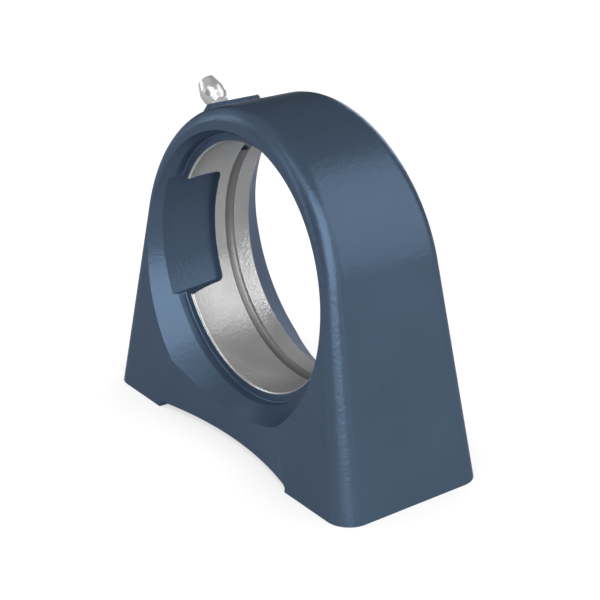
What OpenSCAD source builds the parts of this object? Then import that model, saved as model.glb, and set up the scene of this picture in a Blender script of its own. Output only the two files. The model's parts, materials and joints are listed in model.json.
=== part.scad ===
// Short-base pillow block housing for a 62 mm spherical insert, with its grease nipple.
// Frame: origin on the base plane under the bore, X along the base, Z up.
// The loading slots open towards -Y, which is the front.

/* [Casting] */
// Width of the base along Y
base_w = 40.4; // [38:0.1:46]
// Width at the top of the arch
top_w = 27; // [26:0.5:32]
// Height of the bore axis above the base
bore_h = 42.9; // [41:0.1:50]
// Thickness of the arch over the widest part of the seat
crown_t = 6.7; // [6:0.1:10]
// Radius of the upright corners where they meet the base
corner_r = 5.8; // [3:0.1:8]
// Radius of the arch's front edge
front_edge_r = 2; // [1:0.1:3]
// Radius of the arch's back edge
back_edge_r = 4.4; // [1:0.1:5]

/* [Base] */
// Distance between the two tapped holes
bolt_spacing = 76.2; // [70:0.1:90]
// Tapping drill diameter of the holes
bolt_drill_d = 8.5; // [6:0.1:10]
// Depth of the holes, without the drill point
bolt_depth = 17; // [12:0.5:20]
// Length of a foot outside its hole
foot_out = 9.9; // [8:0.1:16]
// Length of a foot inside its hole
foot_in = 11.7; // [8:0.1:14]
// Height of the relief between the feet
relief_h = 1.6; // [0.8:0.1:3]
// Radius in the upper corners of the relief
relief_r = 0.9; // [0.2:0.1:1.5]
// Depth of the hollow in the web between the feet, front and back
web_hollow = 3.6; // [1.5:0.1:5]

/* [Seat] */
// Diameter of the spherical seat
seat_d = 62; // [58:0.1:66]
// Distance from the seat's centre to its front edge
seat_front = 10.4; // [9:0.1:11.5]
// Distance from the seat's centre to its back edge
seat_back = 9.8; // [9:0.1:11]
// Chamfer on the two edges of the seat
seat_chamfer = 0.55; // [0.2:0.05:1]
// Height of the shoulder ring in front of the seat
shoulder_h = 2; // [1:0.1:3]
// Depth of the step in front of the shoulder ring
step_depth = 2.2; // [1:0.1:3]
// Angle of the front flare from the bore axis
front_flare = 34; // [15:1:40]
// Angle of the back flare from the bore axis
back_flare = 43; // [15:1:45]

/* [Loading slots] */
// Height of the slots at their inner end
slot_h = 28.4; // [24:0.1:32]
// Draft of the slots' upper and lower walls
slot_draft = 3.5; // [0:0.5:6]
// Depth of the slots beyond the widest part of the seat
slot_deep = 1.5; // [1:0.1:2.5]
// Distance that the slots run past the seat's centre
slot_past = 0.5; // [0:0.1:1.5]
// Radius in the slots' inner corners
slot_r = 1.5; // [0.5:0.1:3]

/* [Grease way] */
// Distance from the seat's centre to the middle of the groove
groove_y = 4.6; // [3.5:0.1:6]
// Width of the groove
groove_w = 2.4; // [1.5:0.1:3]
// Depth of the groove
groove_deep = 0.7; // [0.4:0.1:1.2]
// Lean of the nipple from upright, towards -X
nipple_lean = 50; // [30:1:60]
// Diameter of the drilled way to the groove
way_d = 2; // [1.5:0.1:3]
// Height of the cast pad above the arch
pad_h = 3.1; // [1.5:0.1:5]
// Width of the pad around the arch
pad_w = 14.4; // [10:0.1:18]
// Length of the pad in front of the nipple
pad_front = 8.4; // [5:0.1:10]
// Length of the pad behind the nipple
pad_back = 6.6; // [5:0.1:8]
// Radius of the pad's corners
pad_r = 0.5; // [0.3:0.1:3]

/* [Grease nipple] */
// Diameter of the thread
thread_d = 6; // [5:0.1:7]
// Length of the thread
thread_l = 5.5; // [4:0.1:7]
// Width of the hexagon across its flats
hex_af = 7; // [6.8:0.1:9]
// Height of the hexagon
hex_h = 3.3; // [2:0.1:5]
// Diameter of the neck under the head
neck_d = 4.4; // [4:0.1:5.2]
// Height from the hexagon to the narrowest part of the neck
neck_h = 1.1; // [0.5:0.1:2]
// Largest diameter of the head
head_d = 6.4; // [6:0.1:8]
// Height from the narrowest part of the neck to the widest part of the head
head_h = 2.9; // [2:0.1:4]
// Height of the nose above the widest part
nose_h = 3.9; // [3.5:0.1:6]
// Diameter of the nose just below its rounded end
nose_d = 4.5; // [4.2:0.1:5.5]
// Diameter of the check ball
ball_d = 2.4; // [1.8:0.1:2.6]
// Travel of the check ball
ball_travel = 0.8; // [0.4:0.1:1.2]
// Thickness of the spring wire
wire_d = 0.36; // [0.25:0.01:0.45]
// Number of turns of the spring
spring_turns = 6; // [4:1:8]

/* [Hidden] */
$fn = 96;
eps = 0.01;
far = 200;

// Casting, worked out from the driving sizes
seat_r = seat_d/2;
arch_r = seat_r + crown_t;
overall_h = bore_h + arch_r;
lean = atan((base_w - top_w)/2/overall_h);
base_l = bolt_spacing + 2*foot_out;
foot_gap = bolt_spacing - 2*foot_in;
hollow_r = (pow(foot_gap/2, 2) + pow(web_hollow, 2))/(2*web_hollow);
drill_point = 118;

// Seat, worked out from its sphere
front_r = sqrt(pow(seat_r, 2) - pow(seat_front, 2)) + seat_chamfer;
back_r = sqrt(pow(seat_r, 2) - pow(seat_back, 2)) + seat_chamfer;
step_r = front_r + shoulder_h;
groove_r = (pow(groove_w/2, 2) + pow(groove_deep, 2))/(2*groove_deep);
groove_turn = asin(groove_y/seat_r);
slot_radius = seat_r + slot_deep;

// Nipple heights, measured from the pad along the nipple's axis
pad_top = arch_r + pad_h;
thread_gap = 0.05;
neck_z = hex_h + neck_h;
widest_z = neck_z + head_h;
nipple_h = widest_z + nose_h;
nose_round = 0.5;
root_r = neck_d/2 + neck_h/3;
shoulder_r = (neck_d + 4*head_d)/10;

// Check valve: the ball hangs just under the edge of the mouth and the spring stands under the ball.
// The open gaps of the spring add up to four times the ball's travel.
ball_r = ball_d/2;
ball_gap = 0.04;
bore_gap = 0.16;
mouth_r = ball_r*0.83;
mouth_depth = 0.5;
chamber_r = ball_r + bore_gap;
mouth_z = nipple_h - mouth_depth;
ball_z = mouth_z - sqrt(pow(ball_r, 2) - pow(mouth_r, 2)) - ball_gap;
wire_r = wire_d/2;
spring_l = spring_turns*wire_d + 4*ball_travel;
coil_r = chamber_r - wire_r - bore_gap;
spring_top = ball_z - sqrt(pow(ball_r + wire_r + ball_gap, 2) - pow(coil_r, 2));
spring_low = spring_top - spring_l + wire_d;
chamber_z = spring_low - wire_r - ball_gap;
outlet_r = coil_r - wire_r;

// Puts local Z on the bore axis, pointing to the back
module on_bore() {
    translate([0, 0, bore_h]) rotate([-90, 0, 0]) children();
}

// Puts local Z on the nipple's axis, with z = 0 on the bore axis
module on_nipple() {
    translate([0, groove_y, bore_h]) rotate([0, -nipple_lean, 0]) children();
}

// Rounded rectangle about the origin
module round_rect(w, h, r) {
    square([w - 2*r, h], center = true);
    square([w, h - 2*r], center = true);
    for (sx = [-1, 1], sy = [-1, 1]) translate([sx*(w/2 - r), sy*(h/2 - r)]) circle(r, $fn = 32);
}

// Edge ring of the arch: lies in the leaning face on the given side, -1 front or 1 back
module edge_ring(side, r) {
    depth = base_w/2 - bore_h*tan(lean) - r/cos(lean);
    translate([0, side*depth, bore_h]) rotate([-side*(90 - lean), 0, 0])
        rotate_extrude($fn = 96) translate([arch_r - r, 0]) circle(r, $fn = 24);
}

// Outer form of the casting: four base corners drawn up to the two edge rings of the arch
module outer_form() {
    hull() {
        for (sx = [-1, 1], sy = [-1, 1])
            translate([sx*(base_l/2 - corner_r), sy*(base_w/2 - corner_r), 0])
                cylinder(r = corner_r, h = eps, $fn = 32);
        edge_ring(-1, front_edge_r);
        edge_ring(1, back_edge_r);
    }
}

// Raised pad that the nipple stands on
module pad() {
    on_nipple() translate([0, 0, seat_r + crown_t/2])
        linear_extrude(pad_top - seat_r - crown_t/2)
            translate([0, (pad_back - pad_front)/2]) round_rect(pad_w, pad_back + pad_front, pad_r);
}

// Spherical seat with a chamfer on each edge
module seat_cut() {
    on_bore() {
        intersection() {
            sphere(r = seat_r);
            translate([0, 0, -seat_front]) cylinder(r = far, h = seat_front + seat_back);
        }
        translate([0, 0, -seat_front]) cylinder(r1 = front_r, r2 = front_r - 2*seat_chamfer, h = 2*seat_chamfer);
        translate([0, 0, seat_back - 2*seat_chamfer])
            cylinder(r1 = back_r - 2*seat_chamfer, r2 = back_r, h = 2*seat_chamfer);
    }
}

// Flares on both sides and the step in front of the shoulder ring
module flare_cut() {
    front_l = base_w/2 - seat_front - step_depth;
    back_l = base_w/2 - seat_back;
    on_bore() {
        translate([0, 0, -base_w/2]) cylinder(r1 = step_r + front_l*tan(front_flare), r2 = step_r, h = front_l);
        translate([0, 0, -seat_front - step_depth - eps]) cylinder(r = step_r, h = step_depth + eps);
        translate([0, 0, seat_back]) cylinder(r1 = back_r, r2 = back_r + back_l*tan(back_flare), h = back_l);
    }
}

// Side view of the slots: widens to the front, with rounded inner corners
module slot_shape() {
    corner_y = slot_past - slot_r;
    corner_z = slot_h/2 + slot_r*tan(slot_draft) - slot_r/cos(slot_draft);
    side_y = corner_y + slot_r*sin(slot_draft);
    side_z = corner_z + slot_r*cos(slot_draft);
    front_z = slot_h/2 + (slot_past + base_w)*tan(slot_draft);
    for (sz = [-1, 1]) translate([corner_y, sz*corner_z]) circle(slot_r, $fn = 32);
    polygon([
        [-base_w, -front_z], [side_y, -side_z], [slot_past, -corner_z],
        [slot_past, corner_z], [side_y, side_z], [-base_w, front_z]
    ]);
}

// Loading slots: a wider bore kept to the slots' height
module slot_cut() {
    intersection() {
        on_bore() translate([0, 0, -base_w/2]) cylinder(r = slot_radius, h = base_w/2 + slot_past);
        translate([-far/2, 0, bore_h]) rotate([90, 0, 90]) linear_extrude(far) slot_shape();
    }
}

// Round-bottomed groove in the seat, tapped hole in the pad and the drilled way between them
module grease_cut() {
    on_bore() rotate_extrude() rotate(groove_turn)
        translate([seat_r + groove_deep - groove_r, 0]) circle(groove_r, $fn = 32);
    on_nipple() {
        translate([0, 0, seat_r - groove_w]) cylinder(d = way_d, h = pad_top - seat_r);
        translate([0, 0, pad_top - thread_l - 1]) cylinder(d = thread_d, h = thread_l + 2);
    }
}

// Relief under the base, with rounded upper corners
module relief_cut() {
    rotate([90, 0, 0]) translate([0, 0, -far/2]) linear_extrude(far) {
        translate([-foot_gap/2, -far]) square([foot_gap, far + relief_h - relief_r]);
        translate([-foot_gap/2 + relief_r, 0]) square([foot_gap - 2*relief_r, relief_h]);
        for (sx = [-1, 1]) translate([sx*(foot_gap/2 - relief_r), relief_h - relief_r]) circle(relief_r, $fn = 32);
    }
}

// Hollow in the web between the feet, on both faces
module web_cut() {
    for (sy = [-1, 1]) translate([0, sy*(base_w/2 - web_hollow + hollow_r), -eps])
        cylinder(r = hollow_r, h = bore_h, $fn = 180);
}

// Blind tapped holes in the feet, with drill points
module bolt_cut() {
    r = bolt_drill_d/2;
    for (sx = [-1, 1]) translate([sx*bolt_spacing/2, 0, 0]) {
        translate([0, 0, -eps]) cylinder(r = r, h = bolt_depth + eps);
        translate([0, 0, bolt_depth - eps]) cylinder(r1 = r, r2 = 0, h = r/tan(drill_point/2));
    }
}

module housing() {
    color([0.2, 0.29, 0.38]) difference() {
        union() {
            outer_form();
            pad();
        }
        seat_cut();
        flare_cut();
        slot_cut();
        grease_cut();
        relief_cut();
        web_cut();
        bolt_cut();
    }
}

// Turned outline of the nipple above its hexagon
module head_profile() {
    polygon([
        [0, hex_h/2], [root_r, hex_h/2], [root_r, hex_h], [neck_d/2, neck_z - neck_h/4], [neck_d/2, neck_z],
        [shoulder_r, neck_z + head_h/2], [head_d/2, widest_z], [head_d/2, widest_z + nose_round],
        [nose_d/2, nipple_h - nose_round/2], [nose_d/2 - nose_round, nipple_h], [0, nipple_h]
    ]);
}

module nipple_body() {
    thread_r = thread_d/2 - thread_gap;
    corner = hex_af/2/cos(30);
    color([0.78, 0.78, 0.8]) on_nipple() translate([0, 0, pad_top]) difference() {
        union() {
            translate([0, 0, -thread_l]) cylinder(r1 = thread_r - 0.5, r2 = thread_r, h = 0.5);
            translate([0, 0, 0.5 - thread_l]) cylinder(r = thread_r, h = thread_l);
            intersection() {
                cylinder(r = corner, h = hex_h, $fn = 6);
                cylinder(r1 = corner + hex_h, r2 = corner - 0.8, h = hex_h);
            }
            rotate_extrude() head_profile();
        }
        translate([0, 0, chamber_z]) cylinder(r = chamber_r, h = mouth_z - chamber_z);
        translate([0, 0, -thread_l - eps]) cylinder(r = outlet_r, h = thread_l + chamber_z + 2*eps);
        translate([0, 0, mouth_z - eps]) cylinder(r = mouth_r, h = mouth_depth);
        translate([0, 0, mouth_z + 0.1]) cylinder(r1 = mouth_r, r2 = mouth_r + mouth_depth, h = mouth_depth);
    }
}

module nipple_ball() {
    color([0.72, 0.72, 0.74]) on_nipple() translate([0, 0, pad_top + ball_z]) sphere(r = ball_r);
}

// Round wire swept along a helix
module nipple_spring() {
    sides = 8;
    steps = 20*spring_turns;
    function ring_point(i, j) =
        let (a = 360*spring_turns*i/steps, b = 360*j/sides, r = coil_r + wire_r*cos(b))
        [r*cos(a), r*sin(a), spring_low + (spring_top - spring_low)*i/steps + wire_r*sin(b)];
    points = [for (i = [0:steps], j = [0:sides - 1]) ring_point(i, j)];
    walls = [for (i = [0:steps - 1], j = [0:sides - 1])
        let (k = (j + 1)%sides, low = i*sides, high = low + sides) [low + j, low + k, high + k, high + j]];
    ends = [[for (j = [sides - 1:-1:0]) j], [for (j = [0:sides - 1]) steps*sides + j]];
    color([0.6, 0.6, 0.62]) on_nipple() translate([0, 0, pad_top]) polyhedron(points, concat(walls, ends));
}

housing();
nipple_body();
nipple_ball();
nipple_spring();
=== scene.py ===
"""Blue cast pillow block housing with a bare spherical seat and a bright grease nipple."""
import json
import math

import bmesh
import bpy
from mathutils import Matrix, Vector


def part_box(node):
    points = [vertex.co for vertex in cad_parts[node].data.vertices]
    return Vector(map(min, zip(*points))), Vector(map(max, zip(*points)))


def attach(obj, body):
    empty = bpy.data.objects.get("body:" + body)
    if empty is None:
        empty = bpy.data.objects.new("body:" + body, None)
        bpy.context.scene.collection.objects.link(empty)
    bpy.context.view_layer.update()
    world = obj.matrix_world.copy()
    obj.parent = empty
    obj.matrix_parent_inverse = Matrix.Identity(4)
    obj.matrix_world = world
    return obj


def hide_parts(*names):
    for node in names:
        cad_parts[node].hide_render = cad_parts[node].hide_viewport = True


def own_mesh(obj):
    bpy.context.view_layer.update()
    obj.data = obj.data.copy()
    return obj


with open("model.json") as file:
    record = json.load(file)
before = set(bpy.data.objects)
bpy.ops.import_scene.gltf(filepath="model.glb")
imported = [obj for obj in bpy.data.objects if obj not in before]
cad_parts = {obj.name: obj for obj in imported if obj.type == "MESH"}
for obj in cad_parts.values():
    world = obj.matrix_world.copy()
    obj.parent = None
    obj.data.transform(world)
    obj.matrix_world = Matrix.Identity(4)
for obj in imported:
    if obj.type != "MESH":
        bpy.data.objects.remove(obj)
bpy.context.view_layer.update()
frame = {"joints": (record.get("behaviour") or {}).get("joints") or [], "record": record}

# Sizes are in millimetres while a piece is shaped, and each finished mesh is scaled to metres.
# FAR is outside the casting on every side, and PAST is how far a tool reaches past a face it cuts.
MM = 0.001
FAR = 60.0
PAST = 1.0

# How finely round shapes are divided
RING_STEPS = 192
CORNER_STEPS = 48
EDGE_STEPS = 8
ARC_STEPS = 5
SEAT_FRONT_STEPS = 14
SEAT_BACK_STEPS = 6
GROOVE_STEPS = 16
WEB_STEPS = 900
HOLE_STEPS = 64
WAY_STEPS = 48
NIPPLE_STEPS = 96
BALL_STEPS = 48
COIL_STEPS = 32
WIRE_STEPS = 12

# What the frame gives
mounts = {m["name"]: m for m in frame["record"]["mounts"]}
press = frame["joints"][0]
housing_low, housing_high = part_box("housing")
ball_low, ball_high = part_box("nipple_ball")
BASE_L = (housing_high.x - housing_low.x)/MM
BASE_W = (housing_high.y - housing_low.y)/MM
BORE_H = mounts["bearing_seat"]["pos_m"][2]/MM
SEAT_R = mounts["bearing_seat"]["dims"]["r_mm"]
BOLT_SPACING = mounts["base_bolts"]["dims"]["spacing_x_mm"]
BOLT_R = mounts["base_bolts"]["dims"]["hole_r_mm"]
NIPPLE_AXIS = -Vector(press["axis"]).normalized()
BALL_TRAVEL = press["range_m"][1]/MM
BALL_CENTRE = (ball_low + ball_high)/2/MM
BALL_R = (ball_high.y - ball_low.y)/2/MM

# Casting. The front edge of the arch is rounder here than in the solids, where it has 2 mm.
TOP_W = 27.0
CROWN_T = 6.7
CORNER_R = 5.8
FRONT_EDGE_R = 3.8
BACK_EDGE_R = 4.4
ARCH_R = SEAT_R + CROWN_T
FACE_LEAN = math.atan((BASE_W - TOP_W)/2/(BORE_H + ARCH_R))
CAST_ROUND = 0.9
SLOT_ROUND = 0.25
FOOT_ROUND = 0.5
PAD_ROUND = 0.3

# Base
FOOT_GAP = 52.8
RELIEF_H = 1.6
RELIEF_R = 0.9
WEB_HOLLOW = 3.6
BOLT_DEPTH = 17.0
DRILL_POINT = math.radians(118)

# Seat, groove, step and flares, as distances along the bore axis
SEAT_FRONT = -10.4
SEAT_BACK = 9.8
SEAT_CHAMFER = 0.55
CHAMFER_RUN = 0.407
FRONT_LIP_ROUND = 0.08
BACK_LIP_ROUND = 0.1
SHOULDER_H = 2.0
SHOULDER_ROUND = 0.45
STEP_FRONT = -12.6
STEP_ROUND = 0.6
FRONT_FLARE = math.radians(34)
BACK_FLARE = math.radians(43)
GROOVE_Y = 4.6
GROOVE_W = 2.4
GROOVE_DEEP = 0.7
GROOVE_R = ((GROOVE_W/2)**2 + GROOVE_DEEP**2)/(2*GROOVE_DEEP)
GROOVE_TURN = math.asin(GROOVE_Y/SEAT_R)
GROOVE_SWEEP = math.asin(GROOVE_W/2/GROOVE_R)
SLOT_H = 28.4
SLOT_DRAFT = math.radians(3.5)
SLOT_DEEP = 1.5
SLOT_R = SEAT_R + SLOT_DEEP
SLOT_PAST = 0.5
SLOT_CORNER_R = 1.5

# Nipple pad and grease way
PAD_H = 3.1
PAD_TOP = ARCH_R + PAD_H
PAD_W = 14.4
PAD_FRONT = 8.4
PAD_BACK = 6.6
PAD_R = 0.5
THREAD_R = 3.0
THREAD_L = 5.5
THREAD_ROOM = 1.0
THREAD_CONE = 0.8
WAY_R = 1.0
WAY_PAST = 2.0

ON_BORE = Matrix.Translation((0, 0, BORE_H)) @ Matrix.Rotation(-math.pi/2, 4, "X")
NIPPLE_LEAN = math.atan2(-NIPPLE_AXIS.x, NIPPLE_AXIS.z)
ON_NIPPLE = Matrix.Translation((0, GROOVE_Y, BORE_H)) @ Matrix.Rotation(-NIPPLE_LEAN, 4, "Y")


def seat_radius(y):
    """Radius of the spherical seat at a distance along the bore axis."""
    return math.sqrt(SEAT_R**2 - y**2)


def rounded(corners):
    """Outline through (x, y, radius) corners, where each radius becomes an arc."""
    points = []
    for i, (x, y, radius) in enumerate(corners):
        here = Vector((x, y))
        if radius == 0:
            points.append(here)
            continue
        back = (Vector(corners[i - 1][:2]) - here).normalized()
        ahead = (Vector(corners[(i + 1) % len(corners)][:2]) - here).normalized()
        half = back.angle(ahead)/2
        centre = here + (back + ahead).normalized()*radius/math.sin(half)
        start = here + back*radius/math.tan(half) - centre
        end = here + ahead*radius/math.tan(half) - centre
        for k in range(ARC_STEPS + 1):
            points.append(centre + start.slerp(end, k/ARC_STEPS).normalized()*radius)
    return points


def lathe(outline, place=Matrix.Identity(4), steps=RING_STEPS, closed=False):
    """Solid turned from an outline of (radius, height) points."""
    bm = bmesh.new()
    verts = [bm.verts.new((p[0], 0, p[1])) for p in outline]
    ends = verts[1:] + verts[:1] if closed else verts[1:]
    edges = [bm.edges.new(pair) for pair in zip(verts, ends)]
    bmesh.ops.spin(bm, geom=verts + edges, axis=(0, 0, 1), cent=(0, 0, 0), angle=math.tau,
                   steps=steps, use_merge=True)
    bmesh.ops.remove_doubles(bm, verts=bm.verts, dist=1e-5)
    bmesh.ops.recalc_face_normals(bm, faces=bm.faces)
    bmesh.ops.transform(bm, matrix=place, verts=bm.verts)
    return bm


def prism(outline, depth, place=Matrix.Identity(4)):
    """Solid drawn from a flat outline along its local Z, from 0 to the depth."""
    bm = bmesh.new()
    face = bm.faces.new([bm.verts.new((p[0], p[1], 0)) for p in outline])
    grown = bmesh.ops.extrude_face_region(bm, geom=[face])["geom"]
    far_end = [g for g in grown if isinstance(g, bmesh.types.BMVert)]
    bmesh.ops.translate(bm, vec=(0, 0, depth), verts=far_end)
    bmesh.ops.recalc_face_normals(bm, faces=bm.faces)
    bmesh.ops.transform(bm, matrix=place, verts=bm.verts)
    return bm


def as_object(bm, name):
    """Links a finished bmesh to the scene as an object."""
    mesh = bpy.data.meshes.new(name)
    bm.to_mesh(mesh)
    bm.free()
    obj = bpy.data.objects.new(name, mesh)
    bpy.context.scene.collection.objects.link(obj)
    return obj


def combine(body, tools, how):
    """Adds, cuts or keeps the tools' shapes on the body, one after another, and deletes the tools."""
    for tool in tools:
        step = body.modifiers.new(tool.name, "BOOLEAN")
        step.operation = how
        step.solver = "EXACT"
        step.object = tool
    shaped = body.evaluated_get(bpy.context.evaluated_depsgraph_get())
    mesh = bpy.data.meshes.new_from_object(shaped)
    body.modifiers.clear()
    body.data = mesh
    for tool in tools:
        bpy.data.objects.remove(tool)
    return body


def soften(bm, edges, width, steps):
    """Rounds edges of a casting."""
    bmesh.ops.bevel(bm, geom=edges, offset=width, offset_type="OFFSET", segments=steps, profile=0.5,
                    affect="EDGES", clamp_overlap=True, material=-1)


def dress(obj, coats):
    """Gives a piece its materials, in the order of their slots."""
    obj.data.materials.clear()
    for coat in coats:
        obj.data.materials.append(coat)


def finish_mesh(obj, sharp_degrees):
    """Scales a mesh to metres and shades it smooth, except over sharp edges."""
    obj.data.transform(Matrix.Scale(MM, 4))
    obj.data.shade_smooth()
    obj.data.set_sharp_from_angle(angle=math.radians(sharp_degrees))
    return obj


# Housing

def outer_form():
    """Four base corners drawn up to the two edge rings of the arch."""
    bm = bmesh.new()
    for sx in (-1, 1):
        for sy in (-1, 1):
            corner = Matrix.Translation((sx*(BASE_L/2 - CORNER_R), sy*(BASE_W/2 - CORNER_R), 0))
            bmesh.ops.create_circle(bm, radius=CORNER_R, segments=CORNER_STEPS, matrix=corner)
    for side, edge_r in ((-1, FRONT_EDGE_R), (1, BACK_EDGE_R)):
        depth = BASE_W/2 - BORE_H*math.tan(FACE_LEAN) - edge_r/math.cos(FACE_LEAN)
        lean = Matrix.Rotation(-side*(math.pi/2 - FACE_LEAN), 4, "X")
        place = Matrix.Translation((0, side*depth, BORE_H)) @ lean
        for k in range(EDGE_STEPS + 1):
            turn = math.pi/2*k/EDGE_STEPS
            lift = Matrix.Translation((0, 0, edge_r*math.sin(turn)))
            radius = ARCH_R - edge_r + edge_r*math.cos(turn)
            bmesh.ops.create_circle(bm, radius=radius, segments=RING_STEPS, matrix=place @ lift)
    hull = bmesh.ops.convex_hull(bm, input=bm.verts[:])
    inside = hull["geom_interior"] + hull["geom_unused"]
    spare = {g for g in inside if isinstance(g, bmesh.types.BMVert)}
    bmesh.ops.delete(bm, geom=list(spare), context="VERTS")
    bmesh.ops.recalc_face_normals(bm, faces=bm.faces)
    merge_flat_faces(bm)
    return bm


def merge_flat_faces(bm):
    """Joins faces that lie in one plane."""
    bmesh.ops.dissolve_limit(bm, angle_limit=math.radians(0.1), verts=bm.verts, edges=bm.edges)


def seat_arc(start, end, steps):
    """Corners along the spherical seat, between two distances along the bore axis."""
    ys = [start + (end - start)*k/steps for k in range(steps + 1)]
    return [(seat_radius(y), y, 0) for y in ys]


def groove_arc():
    """Corners along the round bottom of the grease groove."""
    middle = SEAT_R + GROOVE_DEEP - GROOVE_R
    x = middle*math.cos(GROOVE_TURN)
    y = middle*math.sin(GROOVE_TURN)
    turns = [GROOVE_TURN + GROOVE_SWEEP*(2*k/GROOVE_STEPS - 1) for k in range(GROOVE_STEPS + 1)]
    return [(x + GROOVE_R*math.cos(t), y + GROOVE_R*math.sin(t), 0) for t in turns]


def bore_outline():
    """Outline of the space inside the bore, from front to back, as (radius, distance) points."""
    lip_front = seat_radius(SEAT_FRONT) + SEAT_CHAMFER
    lip_back = seat_radius(SEAT_BACK) + SEAT_CHAMFER
    step_r = lip_front + SHOULDER_H
    front_r = step_r + (STEP_FRONT + FAR)*math.tan(FRONT_FLARE)
    back_r = lip_back + (FAR - SEAT_BACK)*math.tan(BACK_FLARE)
    groove = groove_arc()
    corners = [(0, -FAR, 0), (front_r, -FAR, 0)]
    corners += [(step_r, STEP_FRONT, STEP_ROUND), (step_r, SEAT_FRONT, SHOULDER_ROUND)]
    corners += [(lip_front, SEAT_FRONT, FRONT_LIP_ROUND)]
    corners += seat_arc(SEAT_FRONT + CHAMFER_RUN, groove[0][1], SEAT_FRONT_STEPS)[:-1]
    corners += groove
    corners += seat_arc(groove[-1][1], SEAT_BACK - CHAMFER_RUN, SEAT_BACK_STEPS)[1:]
    corners += [(lip_back, SEAT_BACK, BACK_LIP_ROUND), (back_r, FAR, 0), (0, FAR, 0)]
    return rounded(corners)


def slot_tool():
    """Wider bore, kept to a band of the slots' height."""
    front = SLOT_H/2 + (SLOT_PAST + FAR)*math.tan(SLOT_DRAFT)
    band = rounded([(-FAR, -front, 0), (SLOT_PAST, -SLOT_H/2, SLOT_CORNER_R),
                    (SLOT_PAST, SLOT_H/2, SLOT_CORNER_R), (-FAR, front, 0)])
    reach = FAR*0.75
    along_x = Matrix(((0, 0, 1, 0), (1, 0, 0, 0), (0, 1, 0, 0), (0, 0, 0, 1)))
    place = Matrix.Translation((-reach, 0, BORE_H)) @ along_x
    slots = as_object(prism(band, 2*reach, place), "slot_band")
    wider = as_object(lathe([(0, -FAR), (SLOT_R, -FAR), (SLOT_R, FAR), (0, FAR)], ON_BORE), "slot_round")
    return combine(slots, [wider], "INTERSECT")


def web_tools():
    """Upright cylinders that hollow the web between the feet, front and back."""
    radius = ((FOOT_GAP/2)**2 + WEB_HOLLOW**2)/(2*WEB_HOLLOW)
    outline = [(0, -PAST), (radius, -PAST), (radius, BORE_H), (0, BORE_H)]
    tools = []
    for side in (-1, 1):
        place = Matrix.Translation((0, side*(BASE_W/2 - WEB_HOLLOW + radius), 0))
        tools.append(as_object(lathe(outline, place, WEB_STEPS), "web_hollow"))
    return tools


def base_tools():
    """Relief between the feet and the two tapped holes."""
    half = FOOT_GAP/2
    shape = rounded([(-half, -FAR, 0), (half, -FAR, 0),
                     (half, RELIEF_H, RELIEF_R), (-half, RELIEF_H, RELIEF_R)])
    stand = Matrix.Translation((0, FAR, 0)) @ Matrix.Rotation(math.pi/2, 4, "X")
    tools = [as_object(prism(shape, 2*FAR, stand), "relief")]
    tip = BOLT_DEPTH + BOLT_R/math.tan(DRILL_POINT/2)
    outline = [(0, -PAST), (BOLT_R, -PAST), (BOLT_R, BOLT_DEPTH), (0, tip)]
    for side in (-1, 1):
        place = Matrix.Translation((side*BOLT_SPACING/2, 0, 0))
        tools.append(as_object(lathe(outline, place, HOLE_STEPS), "tapped_hole"))
    return tools


def pad_shape():
    """Raised pad that the nipple stands on."""
    half = PAD_W/2
    shape = rounded([(-half, -PAD_FRONT, PAD_R), (half, -PAD_FRONT, PAD_R),
                     (half, PAD_BACK, PAD_R), (-half, PAD_BACK, PAD_R)])
    foot = ARCH_R - CROWN_T/2
    return as_object(prism(shape, PAD_TOP - foot, ON_NIPPLE @ Matrix.Translation((0, 0, foot))), "pad")


def grease_tool():
    """Tapped hole in the pad and the drilled way to the groove."""
    bottom = PAD_TOP - THREAD_L - THREAD_ROOM
    inner = SEAT_R - WAY_PAST
    outline = [(0, inner), (WAY_R, inner), (WAY_R, bottom),
               (THREAD_R, bottom + THREAD_CONE), (THREAD_R, FAR), (0, FAR)]
    return as_object(lathe(outline, ON_NIPPLE, WAY_STEPS), "grease_hole")


def bore_place(point):
    """Radius from the bore axis and distance along it."""
    return math.hypot(point.x, point.z - BORE_H), point.y


# Which edges are rounded: those sharper than this angle, in zones this far round each feature
SHARP_EDGE = math.radians(14)
SAME_RING = 0.004
FOOT_ZONE = 2.5
PAD_ZONE = 2.0
PAD_END_ZONE = 1.0
THREAD_ZONE = 0.5
SLOT_ZONE = 0.2
SLOT_END_ZONE = 1.2

# Group of edges, width of its rounding and number of steps across it
ROUNDINGS = (
    ("cast", CAST_ROUND, 4),
    ("foot", FOOT_ROUND, 3),
    ("pad", PAD_ROUND, 3),
    ("slot", SLOT_ROUND, 2),
)


def on_pad(local):
    """Whether a point, in the nipple's own frame, is at the pad."""
    between_ends = -PAD_FRONT - PAD_END_ZONE < local.y < PAD_BACK + PAD_END_ZONE
    return local.z > ARCH_R - PAD_ZONE and abs(local.x) < PAD_W/2 + PAD_ZONE and between_ends


def edge_groups(bm):
    """Sharp edges of the carved casting, sorted by where they lie."""
    groups = {name: [] for name, width, steps in ROUNDINGS}
    for edge in bm.edges:
        if not edge.is_manifold or edge.calc_face_angle(0) < SHARP_EDGE:
            continue
        (r0, y0), (r1, y1) = (bore_place(v.co) for v in edge.verts)
        if abs(r0 - r1) < SAME_RING and abs(y0 - y1) < SAME_RING and r0 < ARCH_R:
            continue
        middle = (edge.verts[0].co + edge.verts[1].co)/2
        radius = bore_place(middle)[0]
        local = ON_NIPPLE.inverted() @ middle
        if middle.z < FOOT_ZONE:
            groups["foot"].append(edge)
        elif on_pad(local):
            if math.hypot(local.x, local.y) > THREAD_R + THREAD_ZONE:
                groups["pad"].append(edge)
        elif radius < SLOT_R + SLOT_ZONE and abs(middle.z - BORE_H) < SLOT_H/2 + SLOT_END_ZONE:
            groups["slot"].append(edge)
        elif radius > SLOT_R:
            groups["cast"].append(edge)
    return groups


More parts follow.
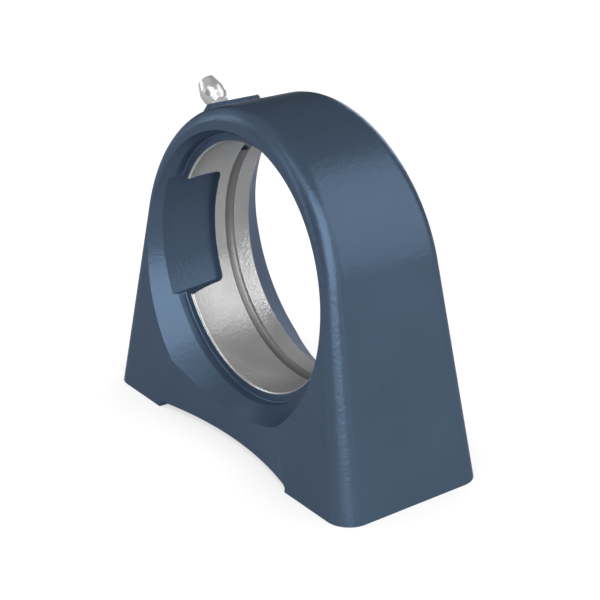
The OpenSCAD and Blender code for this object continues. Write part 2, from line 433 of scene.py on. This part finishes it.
# Material slots of the housing, and how far off its ideal surface a face still counts as part of it
PAINTED, TURNED, SHADED_GROOVE, MILLED = range(4)
GROOVE_SLACK = 0.05
GROOVE_RISE = 0.03
SEAT_SLACK = 0.02
LIP_REACH = 0.44
HOLE_SLACK = 0.1
HOLE_TIP = 4.0
BASE_SLACK = 0.02
FACING_DOWN = -0.5


def surface_of(face):
    """Which of the housing's material slots a face has, by its place."""
    centre = face.calc_center_median()
    places = [bore_place(v.co) for v in face.verts]
    radius = sum(p[0] for p in places)/len(places)
    along = sum(p[1] for p in places)/len(places)
    beyond = math.hypot(radius, along) - SEAT_R
    at_groove = abs(along - GROOVE_Y) < GROOVE_W/2 + GROOVE_SLACK
    if at_groove and GROOVE_RISE < beyond < GROOVE_DEEP + GROOVE_SLACK:
        return SHADED_GROOVE
    if SEAT_FRONT - SEAT_SLACK < along < SEAT_BACK + SEAT_SLACK and beyond < LIP_REACH:
        return TURNED
    from_hole = math.hypot(abs(centre.x) - BOLT_SPACING/2, centre.y)
    in_hole = from_hole < BOLT_R + HOLE_SLACK and centre.z < BOLT_DEPTH + HOLE_TIP
    if in_hole or centre.z < BASE_SLACK and face.normal.z < FACING_DOWN:
        return MILLED
    return PAINTED


def make_housing(coats):
    """Casting with its pad, carved, rounded along its edges and given its materials."""
    body = as_object(outer_form(), "housing_casting")
    combine(body, [pad_shape()], "UNION")
    bore = as_object(lathe(bore_outline(), ON_BORE), "bore")
    combine(body, [bore, slot_tool(), *web_tools(), *base_tools(), grease_tool()], "DIFFERENCE")
    bm = bmesh.new()
    bm.from_mesh(body.data)
    bmesh.ops.remove_doubles(bm, verts=bm.verts, dist=1e-3)
    merge_flat_faces(bm)
    for name, width, steps in ROUNDINGS:
        soften(bm, edge_groups(bm)[name], width, steps)
    for face in bm.faces:
        face.material_index = surface_of(face)
    dress(body, coats)
    bm.to_mesh(body.data)
    bm.free()
    finish_mesh(body, sharp_degrees=32)
    body.modifiers.new("even_normals", "WEIGHTED_NORMAL").keep_sharp = True
    return body


# Grease nipple, with heights above the pad. The ball's size and place come from the frame.

NIPPLE_PLACE = ON_NIPPLE @ Matrix.Translation((0, 0, PAD_TOP))
THREAD_GAP = 0.05
SHANK_R = THREAD_R - THREAD_GAP
SHANK_CHAMFER = 0.5
SHANK_TOP = 0.5
HEX_AF = 7.0
HEX_H = 3.3
HEX_CHAMFER_H = 0.6
HEX_CHAMFER_W = 0.8
HEX_CROWN_ROOM = 0.1
HEX_INNER_R = 2.0
NECK_R = 2.2
NECK_H = 1.1
NECK_BAND = 0.5
NECK_LIFT = 0.1
NECK_ROUND = 0.5
NECK_Z = HEX_H + NECK_H
NECK_HIGH = NECK_Z + NECK_LIFT
NECK_LOW = NECK_HIGH - NECK_BAND
CORE_R = NECK_R + NECK_H/3
CORE_ROUND = 0.15
HEAD_R = 3.2
HEAD_H = 2.9
HEAD_BAND = 0.6
HEAD_LOW_ROUND = 1.2
HEAD_HIGH_ROUND = 0.8
HEAD_LOW = NECK_Z + HEAD_H
HEAD_HIGH = HEAD_LOW + HEAD_BAND
FLANK_R = (NECK_R + 4*HEAD_R)/5
FLANK_Z = NECK_Z + HEAD_H/2
FLANK_ROUND = 2.5
NOSE_R = 2.25
NOSE_H = 3.9
NOSE_EDGE_H = 0.25
NOSE_EDGE_W = 0.5
NOSE_ROUND = 0.3
NIPPLE_H = HEAD_LOW + NOSE_H
NOSE_Z = NIPPLE_H - NOSE_EDGE_H
TIP_R = NOSE_R - NOSE_EDGE_W
TIP_ROUND = 0.1

# Mouth, spring chamber and spring, fitted to the ball
BALL_GAP = 0.04
BORE_GAP = 0.16
BALL_Z = (NIPPLE_PLACE.inverted() @ BALL_CENTRE).z
MOUTH_SHARE = 0.83
MOUTH_R = BALL_R*MOUTH_SHARE
MOUTH_DEPTH = 0.5
MOUTH_LAND = 0.1
MOUTH_FLARE = 0.4
MOUTH_ROUND = 0.06
MOUTH_Z = NIPPLE_H - MOUTH_DEPTH
WIRE_R = 0.18
SPRING_TURNS = 6
CHAMBER_R = BALL_R + BORE_GAP
COIL_R = CHAMBER_R - WIRE_R - BORE_GAP
SPRING_RISE = SPRING_TURNS*2*WIRE_R + 4*BALL_TRAVEL - 2*WIRE_R
SPRING_TOP = BALL_Z - math.sqrt((BALL_R + WIRE_R + BALL_GAP)**2 - COIL_R**2)
SPRING_LOW = SPRING_TOP - SPRING_RISE
CHAMBER_Z = SPRING_LOW - WIRE_R - BALL_GAP
OUTLET_R = COIL_R - WIRE_R


def nipple_outline():
    """Outline of the turned body, up the outside and down through the mouth and chamber."""
    return rounded([
        (OUTLET_R, -THREAD_L, 0),
        (SHANK_R - SHANK_CHAMFER, -THREAD_L, 0),
        (SHANK_R, SHANK_CHAMFER - THREAD_L, 0),
        (SHANK_R, SHANK_TOP, 0),
        (CORE_R, SHANK_TOP, 0),
        (CORE_R, HEX_H, CORE_ROUND),
        (NECK_R, NECK_LOW, NECK_ROUND),
        (NECK_R, NECK_HIGH, NECK_ROUND),
        (FLANK_R, FLANK_Z, FLANK_ROUND),
        (HEAD_R, HEAD_LOW, HEAD_LOW_ROUND),
        (HEAD_R, HEAD_HIGH, HEAD_HIGH_ROUND),
        (NOSE_R, NOSE_Z, NOSE_ROUND),
        (TIP_R, NIPPLE_H, TIP_ROUND),
        (MOUTH_R + MOUTH_FLARE, NIPPLE_H, MOUTH_ROUND),
        (MOUTH_R, MOUTH_Z + MOUTH_LAND, 0),
        (MOUTH_R, MOUTH_Z, 0),
        (CHAMBER_R, MOUTH_Z, 0),
        (CHAMBER_R, CHAMBER_Z, 0),
        (OUTLET_R, CHAMBER_Z, 0),
    ])


def make_hexagon():
    """Hexagon for the spanner, with its upper corners turned off."""
    corner = HEX_AF/2/math.cos(math.pi/6)
    place = NIPPLE_PLACE @ Matrix.Translation((0, 0, HEX_H/2)) @ Matrix.Rotation(math.pi/6, 4, "Z")
    bm = bmesh.new()
    bmesh.ops.create_cone(bm, cap_ends=True, segments=6, radius1=corner, radius2=corner, depth=HEX_H,
                          matrix=place)
    outer = corner + HEX_CROWN_ROOM
    crown = [(HEX_INNER_R, -PAST), (outer, -PAST), (outer, HEX_H - HEX_CHAMFER_H),
             (corner - HEX_CHAMFER_W, HEX_H), (HEX_INNER_R, HEX_H)]
    hexagon = as_object(bm, "nut")
    turned_off = as_object(lathe(crown, NIPPLE_PLACE, NIPPLE_STEPS, closed=True), "nut_crown")
    return combine(hexagon, [turned_off], "INTERSECT")


def make_nipple():
    """Turned body with its hexagon, grease way and spring chamber."""
    hexagon = make_hexagon()
    body = as_object(lathe(nipple_outline(), NIPPLE_PLACE, NIPPLE_STEPS, closed=True), "nipple_fitting")
    combine(body, [hexagon], "UNION")
    return finish_mesh(body, sharp_degrees=30)


def make_ball():
    """Check ball in the nipple's mouth."""
    bm = bmesh.new()
    bmesh.ops.create_uvsphere(bm, u_segments=BALL_STEPS, v_segments=BALL_STEPS//2, radius=BALL_R,
                              matrix=Matrix.Translation(BALL_CENTRE))
    return finish_mesh(as_object(bm, "check_ball_steel"), sharp_degrees=60)


def make_spring():
    """Round wire turned along a helix."""
    steps = COIL_STEPS*SPRING_TURNS
    bm = bmesh.new()
    start = Matrix.Translation((COIL_R, 0, SPRING_LOW)) @ Matrix.Rotation(math.pi/2, 4, "X")
    bmesh.ops.create_circle(bm, cap_ends=True, segments=WIRE_STEPS, radius=WIRE_R, matrix=start)
    rise = SPRING_RISE/steps
    bmesh.ops.spin(bm, geom=bm.verts[:] + bm.edges[:], axis=(0, 0, 1), cent=(0, 0, 0),
                   dvec=(0, 0, rise), angle=math.tau*SPRING_TURNS, steps=steps)
    bmesh.ops.holes_fill(bm, edges=[e for e in bm.edges if e.is_boundary], sides=0)
    bmesh.ops.remove_doubles(bm, verts=bm.verts, dist=1e-5)
    bmesh.ops.recalc_face_normals(bm, faces=bm.faces)
    bmesh.ops.transform(bm, matrix=NIPPLE_PLACE, verts=bm.verts)
    return finish_mesh(as_object(bm, "check_spring"), sharp_degrees=60)


# Materials. Noise stays mostly between these two values, so they are the ends of each blend.

MASK_LOW = 0.15
MASK_HIGH = 0.85


def add(tree, kind, inputs=None, **settings):
    """Adds a node, and sets or links its inputs."""
    made = tree.nodes.new("ShaderNode" + kind)
    for key, value in settings.items():
        setattr(made, key, value)
    for key, value in (inputs or {}).items():
        if isinstance(value, bpy.types.NodeSocket):
            tree.links.new(value, made.inputs[key])
        else:
            made.inputs[key].default_value = value
    return made


def new_material(name, constants):
    """Material with its tree and shader, and constants set on the shader's own sockets."""
    material = bpy.data.materials.new(name)
    material.use_nodes = True
    tree = material.node_tree
    shader = tree.nodes["Principled BSDF"]
    for key, value in constants.items():
        shader.inputs[key].default_value = value
    return material, tree, shader


def make_grain():
    """Group that gives a fine grain and a broad mottle, for every surface."""
    group = bpy.data.node_groups.new("surface_grain", "ShaderNodeTree")
    group.interface.new_socket("Fine", in_out="INPUT", socket_type="NodeSocketFloat")
    group.interface.new_socket("Broad", in_out="INPUT", socket_type="NodeSocketFloat")
    group.interface.new_socket("Grain", in_out="OUTPUT", socket_type="NodeSocketFloat")
    group.interface.new_socket("Mottle", in_out="OUTPUT", socket_type="NodeSocketFloat")
    entry = group.nodes.new("NodeGroupInput")
    leave = group.nodes.new("NodeGroupOutput")
    place = add(group, "TexCoord").outputs["Object"]
    fine = add(group, "TexNoise", {"Vector": place, "Scale": entry.outputs["Fine"], "Detail": 3.0})
    broad = add(group, "TexNoise", {"Vector": place, "Scale": entry.outputs["Broad"], "Detail": 4.0})
    group.links.new(fine.outputs["Fac"], leave.inputs["Grain"])
    group.links.new(broad.outputs["Fac"], leave.inputs["Mottle"])
    return group


GRAIN = make_grain()


def grain_node(tree, fine, broad):
    """Places the grain group in a material, with its own two scales."""
    made = tree.nodes.new("ShaderNodeGroup")
    made.node_tree = GRAIN
    made.inputs["Fine"].default_value = fine
    made.inputs["Broad"].default_value = broad
    return made


def blend(tree, mask, low, high):
    """Colour between two colours, from a mask."""
    ramp = add(tree, "ValToRGB", {"Fac": mask})
    ramp.color_ramp.elements[0].position = MASK_LOW
    ramp.color_ramp.elements[0].color = (*low, 1)
    ramp.color_ramp.elements[1].position = MASK_HIGH
    ramp.color_ramp.elements[1].color = (*high, 1)
    return ramp.outputs["Color"]


def span(tree, mask, low, high):
    """Number between two numbers, from a mask."""
    ends = {"From Min": MASK_LOW, "From Max": MASK_HIGH, "To Min": low, "To Max": high}
    return add(tree, "MapRange", {"Value": mask, **ends}).outputs["Result"]


def link_surface(tree, shader, colour, roughness, relief):
    """Links a colour, a roughness and a relief to the shader. The relief holds a Bump node's inputs."""
    bump = add(tree, "Bump", relief)
    tree.links.new(colour, shader.inputs["Base Color"])
    tree.links.new(roughness, shader.inputs["Roughness"])
    tree.links.new(bump.outputs["Normal"], shader.inputs["Normal"])


def make_paint():
    """Satin blue paint over a cast grain, with a bluish sheen."""
    sheen = {"Metallic": 0.45, "IOR": 1.4, "Specular Tint": (0.4, 0.55, 0.85, 1)}
    material, tree, shader = new_material("housing_paint", sheen)
    grain = grain_node(tree, fine=900.0, broad=55.0)
    mottle = grain.outputs["Mottle"]
    colour = blend(tree, mottle, low=(0.063, 0.097, 0.147), high=(0.073, 0.110, 0.165))
    relief = {"Height": grain.outputs["Grain"], "Strength": 0.6, "Distance": 0.00012}
    link_surface(tree, shader, colour, span(tree, mottle, low=0.25, high=0.33), relief)
    return material


def make_turned(name, low, high, roughness):
    """Bare grey iron with turning marks round the bore."""
    material, tree, shader = new_material(name, {"Metallic": 0.65})
    grain = grain_node(tree, fine=1300.0, broad=120.0)
    mottle = grain.outputs["Mottle"]
    place = add(tree, "TexCoord").outputs["Object"]
    marks = {"Vector": place, "Scale": 1100.0, "Distortion": 1.0, "Detail": 2.0}
    rings = add(tree, "TexWave", marks, bands_direction="Y")
    ring_share = 0.25
    height = add(tree, "Math", {0: rings.outputs["Fac"], 1: ring_share}, operation="MULTIPLY")
    height = add(tree, "Math", {0: height.outputs["Value"], 1: grain.outputs["Grain"]}, operation="ADD")
    relief = {"Height": height.outputs["Value"], "Strength": 0.9, "Distance": 0.0001}
    link_surface(tree, shader, blend(tree, mottle, low, high), span(tree, mottle, *roughness), relief)
    return material


def make_metal(name, low, high, roughness, fine, metal=1.0):
    """Bare or plated metal with a fine grain."""
    material, tree, shader = new_material(name, {"Metallic": metal})
    grain = grain_node(tree, fine, broad=300.0)
    mottle = grain.outputs["Mottle"]
    relief = {"Height": grain.outputs["Grain"], "Strength": 0.1, "Distance": 0.00002}
    link_surface(tree, shader, blend(tree, mottle, low, high), span(tree, mottle, *roughness), relief)
    return material


# Pieces of the object. Each metal has its darkest and lightest colour and its range of roughness.

paint = make_paint()
turned = make_turned("turned_iron", (0.50, 0.50, 0.50), (0.62, 0.62, 0.62), (0.12, 0.17))
# The groove's iron has a much darker colour than the seat's. This is painted shade for the groove's hollow.
groove_painted_shade = make_turned("groove_iron_painted_shade", (0.22, 0.22, 0.22), (0.27, 0.27, 0.27), (0.3, 0.35))
milled = make_metal("milled_iron", (0.50, 0.50, 0.50), (0.60, 0.60, 0.60), (0.35, 0.43), fine=2500.0)
zinc = make_metal("bright_zinc", (0.66, 0.66, 0.67), (0.76, 0.76, 0.77), (0.2, 0.28), fine=3000.0,
                  metal=0.65)
polished = make_metal("polished_steel", (0.72, 0.72, 0.73), (0.8, 0.8, 0.8), (0.06, 0.14), fine=4000.0)
wire = make_metal("drawn_wire", (0.5, 0.5, 0.52), (0.6, 0.6, 0.62), (0.25, 0.33), fine=4000.0)

housing = make_housing((paint, turned, groove_painted_shade, milled))
nipple = make_nipple()
ball = make_ball()
spring = make_spring()

dress(nipple, (zinc,))
dress(ball, (polished,))
dress(spring, (wire,))

# Piece, the node that it replaces, the body that it rides on and its finish
PIECES = (
    (housing, "housing", "casting", "blue_paint"),
    (nipple, "nipple_body", "casting", "plated_steel"),
    (ball, "nipple_ball", "check_ball", "bearing_steel"),
    (spring, "nipple_spring", "casting", "spring_steel"),
)
for piece, cad_node, body, finish in PIECES:
    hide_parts(cad_node)
    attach(piece, body)

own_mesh(spring)


# Stage, light and camera, in metres

CAMERA_PLACE = (0.268062, -0.194820, 0.172268)
CAMERA_TILT = math.radians(67.143)
CAMERA_TURN = math.radians(53.477)
LENS = 91.818
SENSOR = 36
NEAR_CLIP = 0.01

FLOOR_REACH = 6
FLOOR_BOUNCE = 0.52
FLOOR_SEEN = 0.2
FLOOR_MIRRORED = 0.07
# Reach, dimmest and fullest glow of the floor's painted contact shadow
SHADE_REACH = 0.025
SHADE_UNDER = 0.6
SHADE_OPEN = 0.9

ROOM_DIM = 0.06
ROOM_BRIGHT = 0.15
DIM_BELOW = 0.2
BRIGHT_ABOVE = 0.8

# Each softbox has its degrees around and above the object, its width and height, and its brightness.
SOFTBOX_AWAY = 2.0
SOFTBOXES = (
    ("key_softbox", -38, 28, (1.75, 2.2), 3.3),
    ("left_strip", -117, 12, (0.35, 1.4), 2.2),
    ("tip_strip", -153, 16, (0.35, 0.9), 2.6),
    ("top_fill", -150, 50, (2.2, 1.8), 0.2),
    ("high_fill", -88, 50, (1.2, 0.9), 1.1),
    ("gap_fill", 8, 25, (0.8, 1.9), 1.0),
    ("side_softbox", 50, 31, (1.6, 2.05), 1.5),
    ("back_strip", -168, 14, (1.5, 1.5), 0.42),
    ("rear_fill", 122, 6, (0.9, 1.0), 2.4),
)


def make_camera():
    """Camera at the photograph's view."""
    data = bpy.data.cameras.new("photo_view")
    data.lens = LENS
    data.sensor_width = SENSOR
    data.clip_start = NEAR_CLIP
    camera = bpy.data.objects.new("photo_view", data)
    camera.location = CAMERA_PLACE
    camera.rotation_euler = (CAMERA_TILT, 0, CAMERA_TURN)
    bpy.context.scene.collection.objects.link(camera)
    bpy.context.scene.camera = camera


def make_floor():
    """White floor that glows for the camera and darkens a little where the object stands on it: partly the
    lamps' real shadow, mostly a painted contact shadow that dims the glow by ambient occlusion.
    """
    bm = bmesh.new()
    bmesh.ops.create_grid(bm, x_segments=1, y_segments=1, size=FLOOR_REACH)
    floor = as_object(bm, "floor")
    material, tree, shader = new_material("floor_white", {"Roughness": 0.9})
    path = add(tree, "LightPath")
    seen = path.outputs["Is Camera Ray"]
    shade = add(tree, "MapRange", {"Value": seen, "To Min": FLOOR_BOUNCE, "To Max": FLOOR_SEEN})
    tree.links.new(shade.outputs["Result"], shader.inputs["Base Color"])
    # Ambient occlusion dims the camera's glow near the object, a painted contact shadow
    openness = add(tree, "AmbientOcclusion", {"Distance": SHADE_REACH}).outputs["AO"]
    light = add(tree, "MapRange", {"Value": openness, "To Min": SHADE_UNDER, "To Max": SHADE_OPEN})
    mirrored = add(tree, "Math", {0: path.outputs["Is Glossy Ray"], 1: FLOOR_MIRRORED}, operation="MULTIPLY")
    lift = add(tree, "Math", {0: seen, 1: light.outputs["Result"], 2: mirrored.outputs["Value"]},
               operation="MULTIPLY_ADD")
    glow = add(tree, "Emission", {"Strength": lift.outputs["Value"]})
    both = add(tree, "AddShader", {0: shader.outputs["BSDF"], 1: glow.outputs["Emission"]})
    tree.links.new(both.outputs["Shader"], tree.nodes["Material Output"].inputs["Surface"])
    floor.data.materials.append(material)


def make_softbox(name, around, above, size, brightness):
    """Lamp that faces the object, as bright as a surface of that brightness."""
    data = bpy.data.lights.new(name, "AREA")
    data.shape = "RECTANGLE"
    data.size, data.size_y = size
    data.energy = brightness*math.pi*size[0]*size[1]
    lamp = bpy.data.objects.new(name, data)
    turn = Matrix.Rotation(math.radians(around), 4, "Z") @ Matrix.Rotation(math.radians(-above), 4, "Y")
    lamp.location = turn @ Vector((SOFTBOX_AWAY, 0, 0))
    lamp.rotation_euler = (-lamp.location).to_track_quat("-Z", "Y").to_euler()
    bpy.context.scene.collection.objects.link(lamp)


def make_world():
    """Dim room, a little brighter overhead."""
    world = bpy.data.worlds.new("studio")
    bpy.context.scene.world = world
    world.use_nodes = True
    tree = world.node_tree
    up = add(tree, "SeparateXYZ", {"Vector": add(tree, "TexCoord").outputs["Generated"]}).outputs["Z"]
    ends = {"From Min": DIM_BELOW, "From Max": BRIGHT_ABOVE, "To Min": ROOM_DIM, "To Max": ROOM_BRIGHT}
    strength = add(tree, "MapRange", {"Value": up, **ends})
    tree.links.new(strength.outputs["Result"], tree.nodes["Background"].inputs["Strength"])
    tree.nodes["Background"].inputs["Color"].default_value = (1, 1, 1, 1)


make_camera()
make_floor()
for softbox in SOFTBOXES:
    make_softbox(*softbox)
make_world()
bpy.context.scene.view_settings.view_transform = "Standard"
